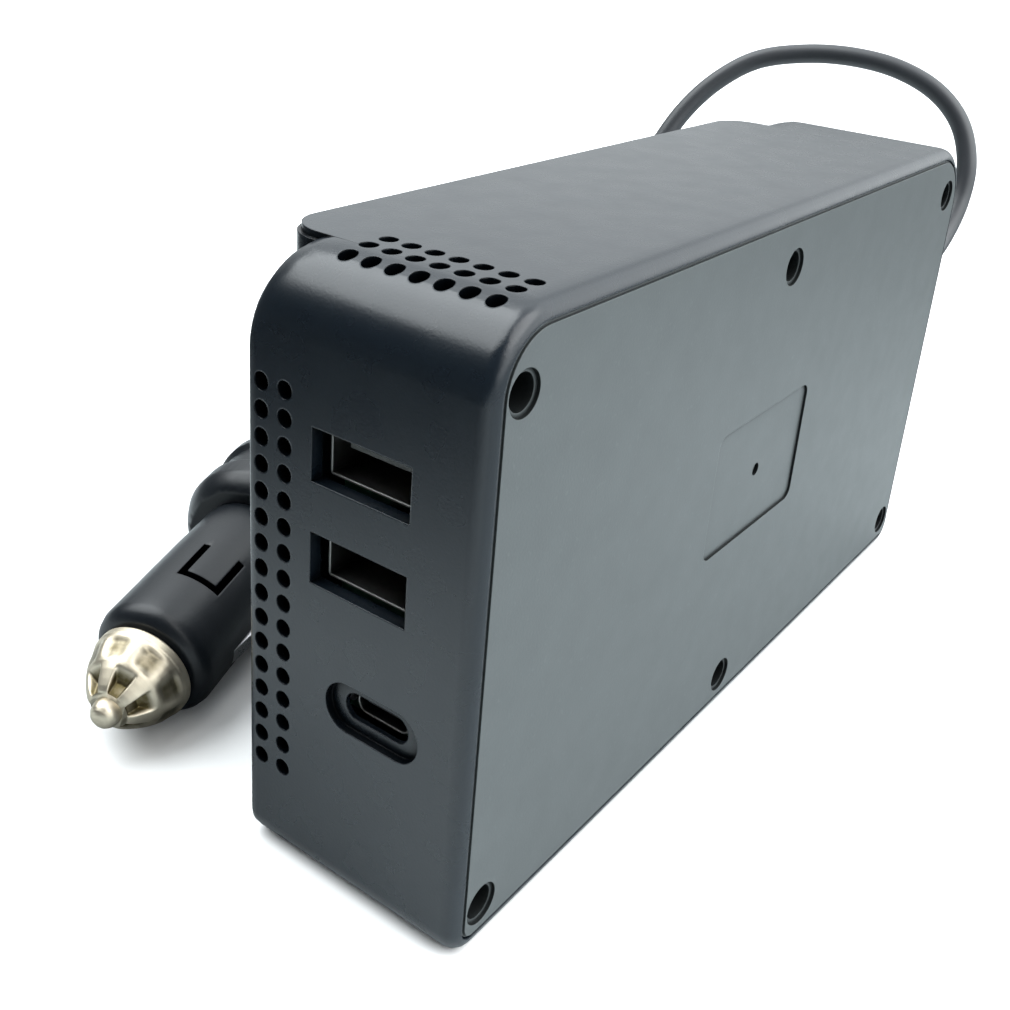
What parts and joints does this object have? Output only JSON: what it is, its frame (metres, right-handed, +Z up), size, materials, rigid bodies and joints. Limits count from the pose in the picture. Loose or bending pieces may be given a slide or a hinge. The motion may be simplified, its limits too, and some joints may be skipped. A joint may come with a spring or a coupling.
{
  "type": "power inverter",
  "caption": "Pocket power inverter on its side, with USB sockets, a mains outlet on a raised deck, a cooling fan and a vehicle socket plug on a short lead.",
  "frame": {"origin": "centre of the housing's footprint, on the surface that it stands on", "axes": "+Z up along the housing's width, since it stands on its narrow side; +Y along its length, from the USB end to the end with the lead; +X out of the screwed base plate"},
  "size_m": [0.1453, 0.2156, 0.0983],
  "materials": {
    "housing_plastic": "satin, fine texture",
    "plate_plastic": "satin, fine texture",
    "screw_steel": "black oxide",
    "bright_steel": "plated",
    "black_plastic": "moulded",
    "gold_contact": "gold plated",
    "board_green": "solder mask",
    "chip_black": "moulded package",
    "ferrite": "sintered",
    "winding_tape": "polyester tape",
    "can_blue": "shrink sleeve",
    "heatsink_aluminium": "extruded",
    "choke_yellow": "coated",
    "copper_wire": "enamelled",
    "fuse_amber": "clear amber",
    "lead_red": "insulated",
    "outlet_black": "moulded",
    "brass": "stamped",
    "lens_green": "translucent",
    "cord_rubber": "matt jacket",
    "boot_rubber": "moulded",
    "plug_plastic": "satin",
    "nickel": "warm nickel plate",
    "fuse_glass": "clear tube"
  },
  "bodies": {
    "housing": {"main_shell": "housing_plastic", "base_plate": "plate_plastic", "base_screws": "screw_steel", "usb_a_shell_upper": "bright_steel", "usb_a_tongue_upper": "black_plastic", "usb_a_shell_lower": "bright_steel", "usb_a_tongue_lower": "black_plastic", "usb_a_contacts": "gold_contact", "usb_c_shell": "bright_steel", "usb_c_tongue": "black_plastic", "usb_board": "board_green", "usb_board_screws": "bright_steel", "usb_chip": "chip_black", "main_board": "board_green", "main_board_screws": "bright_steel", "transformer_core": "ferrite", "transformer_winding": "winding_tape", "input_capacitors": "can_blue", "mains_capacitor": "can_blue", "heatsink": "heatsink_aluminium", "power_transistors": "chip_black", "choke_core": "choke_yellow", "choke_winding": "copper_wire", "board_fuse": "fuse_amber", "battery_leads": "lead_red", "outlet_insert": "outlet_black", "outlet_contacts": "brass", "switch_frame": "black_plastic", "indicator_lens": "lens_green", "fan_frame": "black_plastic", "fan_screws": "bright_steel", "strain_relief": "boot_rubber", "power_cord": "cord_rubber", "plug_barrel": "plug_plastic", "plug_head": "plug_plastic", "plug_collar": "black_plastic", "plug_cap": "nickel", "plug_spring": "bright_steel", "plug_fuse": "fuse_glass", "plug_boot": "boot_rubber"},
    "fan": {"fan_rotor": "black_plastic"},
    "rocker": {"power_rocker": "black_plastic"},
    "tip": {"plug_tip": "nickel"},
    "left_contact": {"plug_contact_left": "bright_steel"},
    "right_contact": {"plug_contact_right": "bright_steel"}
  },
  "joints": [
    {"name": "fan_spin", "type": "hinge", "parent": "housing", "child": "fan", "pos_m": [0.0025, 0.07, 0.03], "axis": [0, 1, 0], "continuous": true},
    {"name": "rocker_tilt", "type": "hinge", "parent": "housing", "child": "rocker", "pos_m": [-0.0189, -0.047, 0.044], "axis": [0, 0, 1], "range_deg": [0, 14]},
    {"name": "tip_press", "type": "slide", "parent": "housing", "child": "tip", "axis": [-0.3, 0.9457, 0.1253], "range_m": [0, 0.003], "stiffness_N_per_m": 1500, "springref_m": -0.001, "deforming": ["plug_spring"]},
    {"name": "left_contact_press", "type": "slide", "parent": "housing", "child": "left_contact", "axis": [0.8889, 0.3248, -0.323], "range_m": [0, 0.0008], "stiffness_N_per_m": 2000, "springref_m": -0.0005},
    {"name": "right_contact_press", "type": "slide", "parent": "housing", "child": "right_contact", "axis": [-0.8889, -0.3248, 0.323], "range_m": [0, 0.0008], "stiffness_N_per_m": 2000, "springref_m": -0.0005}
  ]
}
